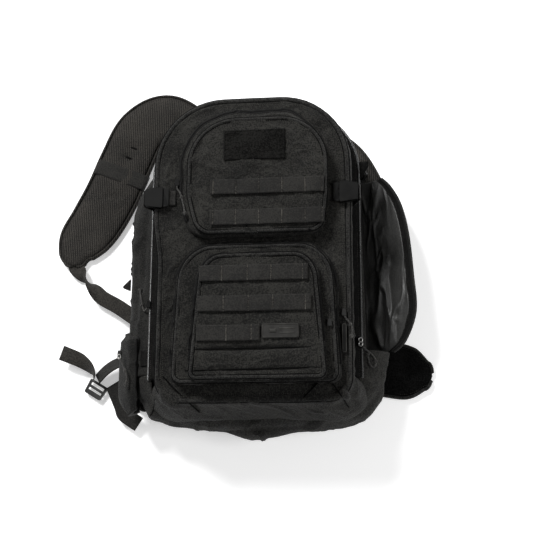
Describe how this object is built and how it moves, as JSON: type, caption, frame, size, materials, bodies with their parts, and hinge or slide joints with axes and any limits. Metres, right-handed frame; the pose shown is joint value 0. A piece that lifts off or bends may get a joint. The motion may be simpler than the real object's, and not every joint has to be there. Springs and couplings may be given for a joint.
{
  "type": "trauma backpack",
  "caption": "Black tactical trauma backpack with clamshell main compartment, fold-down webbing-covered pockets, side-release buckles, padded shoulder straps and hip wings.",
  "frame": {"origin": "centre of the middle back pad's outer face, on the surface the pack lies on", "axes": "+Z out of the front panel, +Y towards the top of the pack, +X to the right seen from the front"},
  "size_m": [0.6496, 0.6315, 0.2112],
  "materials": {
    "nylon": "matt woven nylon",
    "lining": "coated, slightly shiny",
    "spacer_mesh": "open spacer mesh",
    "webbing": "ribbed nylon webbing",
    "loop_pile": "fuzzy loop pile",
    "buckle_plastic": "satin acetal",
    "zip_tape": "woven tape with nylon coil",
    "slider_metal": "blackened metal",
    "rubber": "matt moulded rubber",
    "cord": "braided cord"
  },
  "bodies": {
    "back_shell": {"back_panel": "nylon", "upper_back_pad": "spacer_mesh", "middle_back_pad": "spacer_mesh", "lumbar_pad": "spacer_mesh", "harness_yoke": "nylon", "rear_gusset": "nylon", "base_panel": "nylon", "main_zip_tape_rear": "zip_tape", "left_side_pouch": "nylon", "side_tab": "webbing", "left_strap_webbing": "webbing"},
    "front_section": {"front_panel": "nylon", "front_piping": "nylon", "front_gusset": "nylon", "main_zip_tape_front": "zip_tape", "upper_pocket_gusset": "nylon", "lower_pocket_gusset": "nylon", "left_compression_webbing": "webbing", "right_compression_webbing": "webbing", "left_buckle_housing": "buckle_plastic", "right_buckle_housing": "buckle_plastic", "left_buckle_webbing": "webbing", "right_buckle_webbing": "webbing"},
    "left_buckle": {"left_buckle_tongue": "buckle_plastic"},
    "right_buckle": {"right_buckle_tongue": "buckle_plastic"},
    "upper_pocket": {"upper_pocket_cover": "nylon", "loop_patch": "loop_pile", "upper_molle_row_1": "webbing", "upper_molle_row_2": "webbing"},
    "lower_pocket": {"lower_pocket_cover": "nylon", "front_pocket_gusset": "nylon"},
    "front_pocket": {"front_pocket_cover": "nylon", "lower_molle_row_1": "webbing", "lower_molle_row_2": "webbing", "lower_molle_row_3": "webbing", "rubber_patch": "rubber"},
    "right_flap": {"right_flap_shell": "nylon", "right_flap_lining": "lining", "right_flap_zip_tape": "zip_tape"},
    "main_zip_left": {"main_slider_left": "slider_metal", "main_pull_left": "cord"},
    "main_zip_right": {"main_slider_right": "slider_metal", "main_pull_right": "cord"},
    "upper_zip": {"upper_pocket_slider": "slider_metal", "upper_pocket_pull": "cord"},
    "lower_zip": {"lower_pocket_slider": "slider_metal", "rubber_pull_tag": "rubber"},
    "front_zip": {"front_pocket_slider": "slider_metal"},
    "side_zip": {"side_pouch_slider": "slider_metal", "side_pouch_pull": "cord"},
    "left_strap": {"left_shoulder_strap": "spacer_mesh", "left_strap_band": "webbing"},
    "right_strap": {"right_shoulder_strap": "spacer_mesh"},
    "left_hip": {"left_hip_wing": "spacer_mesh", "hip_anchor_webbing": "webbing", "hip_ladder_lock": "buckle_plastic", "hip_side_webbing": "webbing", "hip_webbing_tail": "webbing"},
    "right_hip": {"right_hip_wing": "spacer_mesh"},
    "handle": {"grab_handle": "webbing"}
  },
  "joints": [
    {"name": "clamshell_hinge", "type": "hinge", "parent": "back_shell", "child": "front_section", "pos_m": [0, -0.244, 0.1161], "axis": [1, 0, 0], "range_deg": [0, 110]},
    {"name": "upper_pocket_hinge", "type": "hinge", "parent": "front_section", "child": "upper_pocket", "pos_m": [0.013, 0.0285, 0.18615], "axis": [1, 0, 0], "range_deg": [0, 85]},
    {"name": "lower_pocket_hinge", "type": "hinge", "parent": "front_section", "child": "lower_pocket", "pos_m": [0.01, -0.2085, 0.18315], "axis": [1, 0, 0], "range_deg": [0, 80]},
    {"name": "front_pocket_hinge", "type": "hinge", "parent": "lower_pocket", "child": "front_pocket", "pos_m": [0.017, -0.2055, 0.20315], "axis": [1, 0, 0], "range_deg": [0, 80]},
    {"name": "right_flap_hinge", "type": "hinge", "parent": "back_shell", "child": "right_flap", "pos_m": [0.1765, -0.024, 0.0245], "axis": [0, 1, 0], "range_deg": [-45, 22]},
    {"name": "left_buckle_release", "type": "slide", "parent": "front_section", "child": "left_buckle", "axis": [1, 0, 0], "range_m": [0, 0.009], "deforming": ["left_buckle_webbing"]},
    {"name": "right_buckle_release", "type": "slide", "parent": "front_section", "child": "right_buckle", "axis": [-1, 0, 0], "range_m": [0, 0.009], "deforming": ["right_buckle_webbing"]},
    {"name": "main_zip_left_slide", "type": "slide", "parent": "front_section", "child": "main_zip_left", "axis": [0, 1, 0], "range_m": [-0.11, 0.15]},
    {"name": "main_zip_right_slide", "type": "slide", "parent": "front_section", "child": "main_zip_right", "axis": [0, 1, 0], "range_m": [-0.006, 0.2]},
    {"name": "upper_zip_slide", "type": "slide", "parent": "front_section", "child": "upper_zip", "axis": [0, 1, 0], "range_m": [-0.01, 0.026]},
    {"name": "lower_zip_slide", "type": "slide", "parent": "front_section", "child": "lower_zip", "axis": [0, 1, 0], "range_m": [-0.03, 0.055]},
    {"name": "front_zip_slide", "type": "slide", "parent": "lower_pocket", "child": "front_zip", "axis": [0, 1, 0], "range_m": [-0.06, 0.06]},
    {"name": "side_zip_slide", "type": "slide", "parent": "back_shell", "child": "side_zip", "axis": [0, 1, 0], "range_m": [-0.004, 0.03]},
    {"name": "left_strap_swing", "type": "hinge", "parent": "back_shell", "child": "left_strap", "pos_m": [-0.07, 0.232, 0.007], "axis": [0, 0, 1], "range_deg": [-20, 4], "deforming": ["left_strap_webbing"]},
    {"name": "right_strap_swing", "type": "hinge", "parent": "back_shell", "child": "right_strap", "pos_m": [0.068, 0.236, 0.007], "axis": [0, 0, 1], "range_deg": [-2, 25]},
    {"name": "left_hip_swing", "type": "hinge", "parent": "back_shell", "child": "left_hip", "pos_m": [-0.118, -0.15, 0.007], "axis": [0, 0, 1], "range_deg": [-8, 10]},
    {"name": "right_hip_swing", "type": "hinge", "parent": "back_shell", "child": "right_hip", "pos_m": [0.118, -0.152, 0.007], "axis": [0, 0, 1], "range_deg": [-8, 8]},
    {"name": "grab_handle_lift", "type": "hinge", "parent": "back_shell", "child": "handle", "pos_m": [0, 0.27, 0.025], "axis": [1, 0, 0], "range_deg": [0, 65]}
  ]
}
